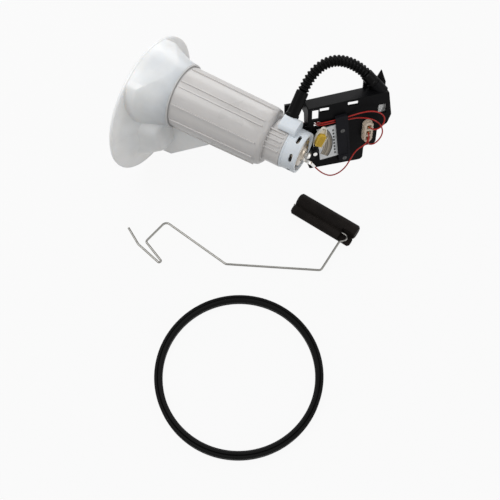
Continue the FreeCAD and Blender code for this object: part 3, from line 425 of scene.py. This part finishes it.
soften = soft_shading(SHARP_FROM)
for name, node in nodes.items():
    modifier = node.modifiers.new("soft shading", "NODES")
    modifier.node_group = soften
print("softened:", len(nodes))

# %% [markdown]
# Most pieces are moulded plastic, rubber or plated steel. One helper makes such a finish:
# a base colour that wanders a little, a roughness that wanders with it, and a fine bump.
# The pattern is solid noise in object coordinates, so it has no seams.

# %% Finish helper
def finish(name, colour, roughness, metallic=0.0, mottle=0.06, grain=0.0, grain_size=900.0,
           patch_size=60.0, rough_spread=0.08, edge_soft=0.0, specular=0.5):
    """A solid-noise finish. mottle is how far the colour wanders, grain is the bump's depth."""
    material, tree, out, shader = node_material(name)
    where = tree.nodes.new("ShaderNodeTexCoord")
    patches = tree.nodes.new("ShaderNodeTexNoise")
    patches.inputs["Scale"].default_value = patch_size
    patches.inputs["Detail"].default_value = 5
    link(tree, where.outputs["Object"], patches.inputs["Vector"])
    tint = tree.nodes.new("ShaderNodeValToRGB")
    tint.color_ramp.elements[0].position = 0.3
    tint.color_ramp.elements[1].position = 0.7
    low = [max(0, c * (1 - mottle)) for c in colour]
    high = [min(1, c * (1 + mottle)) for c in colour]
    tint.color_ramp.elements[0].color = (*low, 1)
    tint.color_ramp.elements[1].color = (*high, 1)
    link(tree, patches.outputs["Fac"], tint.inputs["Fac"])
    link(tree, tint.outputs["Color"], shader.inputs["Base Color"])
    sheen = tree.nodes.new("ShaderNodeMapRange")
    sheen.inputs["To Min"].default_value = max(0.02, roughness - rough_spread)
    sheen.inputs["To Max"].default_value = min(1, roughness + rough_spread)
    link(tree, patches.outputs["Fac"], sheen.inputs["Value"])
    link(tree, sheen.outputs["Result"], shader.inputs["Roughness"])
    shader.inputs["Metallic"].default_value = metallic
    shader.inputs["Specular IOR Level"].default_value = specular
    normal = None
    if edge_soft:
        worn = tree.nodes.new("ShaderNodeBevel")
        worn.samples = 4
        worn.inputs["Radius"].default_value = edge_soft
        normal = worn.outputs["Normal"]
    if grain:
        speck = tree.nodes.new("ShaderNodeTexNoise")
        speck.inputs["Scale"].default_value = grain_size
        speck.inputs["Detail"].default_value = 3
        link(tree, where.outputs["Object"], speck.inputs["Vector"])
        bump = tree.nodes.new("ShaderNodeBump")
        bump.inputs["Strength"].default_value = 0.5
        bump.inputs["Distance"].default_value = grain
        link(tree, speck.outputs["Fac"], bump.inputs["Height"])
        if normal:
            link(tree, normal, bump.inputs["Normal"])
        normal = bump.outputs["Normal"]
    if normal:
        link(tree, normal, shader.inputs["Normal"])
    return material


def wear(material, *names):
    """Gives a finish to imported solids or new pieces."""
    for name in names:
        data = (nodes[name] if name in nodes else bpy.data.objects[name]).data
        if data.materials:
            for i in range(len(data.materials)):
                data.materials[i] = material
        else:
            data.materials.append(material)


print("finish helpers ready")

# %% [markdown]
# The flange and the filter housing are natural, unpigmented plastic: milky and a little
# see-through, so light spreads inside the wall. Subsurface scattering gives that without
# the cost of real glass. The end cap is the same family of plastic with a cool white tint.
# The weld bead is too thin for light to spread in, so it gets a plain finish.

# %% Milky plastics
def milky(material, weight, scale):
    """Lets light spread inside a finish: weight is how much, scale is how far in metres."""
    shader = material.node_tree.nodes["Principled BSDF"]
    shader.inputs["Subsurface Weight"].default_value = weight
    shader.inputs["Subsurface Scale"].default_value = scale
    shader.inputs["Subsurface Radius"].default_value = (1.0, 0.9, 0.8)
    return material


flange_plastic = milky(finish("milky_flange", (0.77, 0.78, 0.78), 0.34, mottle=0.05, grain=0.00004,
                              grain_size=700, edge_soft=0.0008), 0.8, 0.012)
housing_plastic = milky(finish("milky_housing", (0.53, 0.515, 0.505), 0.30, mottle=0.04, patch_size=35,
                               grain=0.00005, grain_size=240, edge_soft=0.0003), 0.4, 0.004)
cap_plastic = milky(finish("white_cap", (0.64, 0.68, 0.72), 0.32, mottle=0.03, grain=0.00003,
                           edge_soft=0.0004), 0.25, 0.002)
weld_white = finish("weld_white", (0.60, 0.60, 0.595), 0.5, mottle=0.02)
wear(flange_plastic, "flange")
wear(weld_white, "weld_bead")
wear(housing_plastic, "filter_housing")
wear(cap_plastic, "end_cap")
print("milky plastics: 3, and the bead")

# %% [markdown]
# Black parts are not one black. The carrier is a satin black plastic, the sender's cover
# a shade greyer, the hose glossier, and the rubber ring matt with a fine grain. All of them
# mirror little, because the white room around them would turn a full sheen grey.

# %% Black plastics and rubber
BLACK_SHEEN = 0.06
carrier_black = finish("carrier_black", (0.0035, 0.0035, 0.004), 0.42, mottle=0.15, grain=0.00003,
                       edge_soft=0.0004, specular=BLACK_SHEEN)
cover_black = finish("cover_black", (0.010, 0.010, 0.0125), 0.38, mottle=0.12, grain=0.00003,
                     edge_soft=0.0003, specular=BLACK_SHEEN)
hose_black = finish("hose_black", (0.003, 0.003, 0.003), 0.30, mottle=0.1, specular=BLACK_SHEEN)
ring_rubber = finish("ring_rubber", (0.005, 0.005, 0.005), 0.48, mottle=0.15, grain=0.00005,
                     grain_size=1500, specular=BLACK_SHEEN)
seal_rubber = finish("seal_rubber", (0.012, 0.012, 0.012), 0.5, grain=0.00003, specular=BLACK_SHEEN)
socket_black = finish("socket_black", (0.016, 0.016, 0.017), 0.4, grain=0.00003, specular=BLACK_SHEEN)
float_foam = finish("float_foam", (0.011, 0.009, 0.008), 0.62, mottle=0.3, patch_size=120, grain=0.00022,
                    grain_size=900, rough_spread=0.12, specular=BLACK_SHEEN)
wear(carrier_black, "carrier", "jet_pump")
wear(cover_black, "sensor_cover")
wear(hose_black, "inlet_cuff", "outlet_cuff", "hose_convolutions")
wear(ring_rubber, "seal_ring")
wear(seal_rubber, "neck_seal", "regulator_seal")
wear(socket_black, "electrical_socket")
wear(float_foam, "float")
print("black finishes: 7")

# %% [markdown]
# Metal shows what stands round it, so a metal finish needs little more than its colour and
# its roughness. The clip and the nipple are bright, the arm wire is duller, and the
# regulator's can is drawn steel with a brownish plating. Pins and barrels are brass.

# %% Steel and brass
arm_steel = finish("arm_steel", (0.24, 0.235, 0.22), 0.34, metallic=1.0, mottle=0.05, patch_size=40)
bright_steel = finish("bright_steel", (0.80, 0.79, 0.77), 0.16, metallic=1.0, mottle=0.05, edge_soft=0.0002)
regulator_steel = finish("regulator_steel", (0.42, 0.37, 0.31), 0.24, metallic=1.0, mottle=0.25,
                         patch_size=220, edge_soft=0.0003)
screw_steel = finish("screw_steel", (0.10, 0.10, 0.10), 0.35, metallic=1.0, mottle=0.1)
spring_metal = finish("spring_metal", (0.48, 0.44, 0.38), 0.25, metallic=1.0, mottle=0.1)
terminal_brass = finish("terminal_brass", (0.42, 0.25, 0.10), 0.3, metallic=1.0, mottle=0.15)
pin_brass = finish("pin_brass", (0.55, 0.44, 0.22), 0.28, metallic=1.0, mottle=0.1)
wear(arm_steel, "arm_wire")
wear(bright_steel, "regulator_nipple", "regulator_clip", "ground_terminal", "pivot_pin")
wear(regulator_steel, "regulator_body")
wear(screw_steel, "cover_screws")
wear(spring_metal, "wiper_contacts")
wear(terminal_brass, "plug_terminals")
wear(pin_brass, "socket_pins")
print("metals: 7")

# %% [markdown]
# The contact band on the card is a dull silver that has gone brown. The fingers sweep it
# along arcs. Its light stripes are painted highlights, as pressed ridges along those arcs would
# catch them, with darker metal between them and at the rims. They could be drawn as thin
# solids, but they are painted flat: the distance from the arcs' centre picks the shade instead.

# %% Striped contact band
band_metal = finish("band_metal", (0.26, 0.23, 0.18), 0.30, metallic=0.6, mottle=0.3, patch_size=500)
BAND_CENTRE = (0.05263, 0.07004, 0.08818)
BAND_INNER, BAND_OUTER = 0.0192, 0.0271


def painted_arc_highlights(material, centre, inner, outer):
    """Thin light and dark arcs about a centre: painted highlights along a level sender's arcs, with darker
    metal between them.
    """
    tree = material.node_tree
    shader = tree.nodes["Principled BSDF"]
    where = tree.nodes["Texture Coordinate"]
    far = tree.nodes.new("ShaderNodeVectorMath")
    far.operation = "DISTANCE"
    far.inputs[1].default_value = centre
    link(tree, where.outputs["Object"], far.inputs[0])
    along = tree.nodes.new("ShaderNodeMapRange")
    along.inputs["From Min"].default_value = inner
    along.inputs["From Max"].default_value = outer
    link(tree, far.outputs["Value"], along.inputs["Value"])
    shades = tree.nodes.new("ShaderNodeValToRGB")
    ramp = shades.color_ramp
    # The light stops are painted highlights, and the dark ones are the darker metal between and at the
    # rims.
    stops = [(0.0, 0.10), (0.14, 0.42), (0.24, 0.06), (0.34, 0.34), (0.46, 0.05), (0.54, 0.30),
             (0.80, 0.24), (0.86, 0.05), (0.92, 0.30), (1.0, 0.04)]
    for place, _ in stops[1:-1]:
        ramp.elements.new(place)
    for stop, (place, shade) in zip(ramp.elements, stops):
        stop.position = place
        stop.color = (shade, shade * 0.88, shade * 0.70, 1)
    link(tree, along.outputs["Result"], shades.inputs["Fac"])
    link(tree, shades.outputs["Color"], shader.inputs["Base Color"])


painted_arc_highlights(band_metal, BAND_CENTRE, BAND_INNER, BAND_OUTER)
wear(band_metal, "contact_band")
print("band stripes done")

# %% [markdown]
# What is left has colours of its own: a yellow rotor in a cream lever, a pale ceramic card
# with dark printed resistors, a beige plug, dark red leads, and the pleated paper with its
# white frame inside the canister. Each is one moulding or one sheet of one colour, so the
# common finish is enough, and only the figures differ.

# %% Coloured parts
rotor_yellow = finish("rotor_yellow", (0.64, 0.42, 0.030), 0.36, mottle=0.12, edge_soft=0.0003)
lever_cream = finish("lever_cream", (0.80, 0.77, 0.68), 0.36, mottle=0.05, edge_soft=0.0003)
card_ceramic = finish("card_ceramic", (0.68, 0.70, 0.71), 0.55, mottle=0.10, patch_size=260, grain=0.00004)
resistor_ink = finish("resistor_ink", (0.010, 0.010, 0.010), 0.4, mottle=0.1)
plug_beige = finish("plug_beige", (0.60, 0.51, 0.41), 0.42, mottle=0.10, grain=0.00003, edge_soft=0.0003)
mesh_grey = finish("mesh_grey", (0.36, 0.37, 0.36), 0.6, mottle=0.1)
hub_black = finish("hub_black", (0.014, 0.014, 0.015), 0.4, mottle=0.1, edge_soft=0.0003,
                   specular=BLACK_SHEEN)
lead_red = finish("lead_red", (0.34, 0.013, 0.009), 0.38, mottle=0.12, patch_size=200, specular=0.3)
paper_pleats = finish("paper_pleats", (0.56, 0.50, 0.36), 0.8, mottle=0.08, grain=0.0001)
element_white = finish("element_white", (0.66, 0.66, 0.62), 0.45, mottle=0.04)
wear(rotor_yellow, "wiper_rotor")
wear(lever_cream, "wiper_lever")
wear(card_ceramic, "sensor_card")
wear(resistor_ink, "resistor_tracks")
wear(plug_beige, "lead_plug")
wear(mesh_grey, "strainer")
wear(hub_black, "wiper_hub")
wear(lead_red, "signal_lead_wire", "supply_lead_wire", "ground_lead_wire")
wear(paper_pleats, "filter_element")
wear(element_white, "element_base", "element_head", "core_tube")
print("coloured finishes: 10")

# %% [markdown]
# The box round everything is measured again, and its height is printed beside the first one's.

# %% Sizes measured again
dressed_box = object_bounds()
heights = [round(box[1][2] * 1000, 1) for box in (cad_box, dressed_box)]
print("height packed and dressed, in mm:", heights)
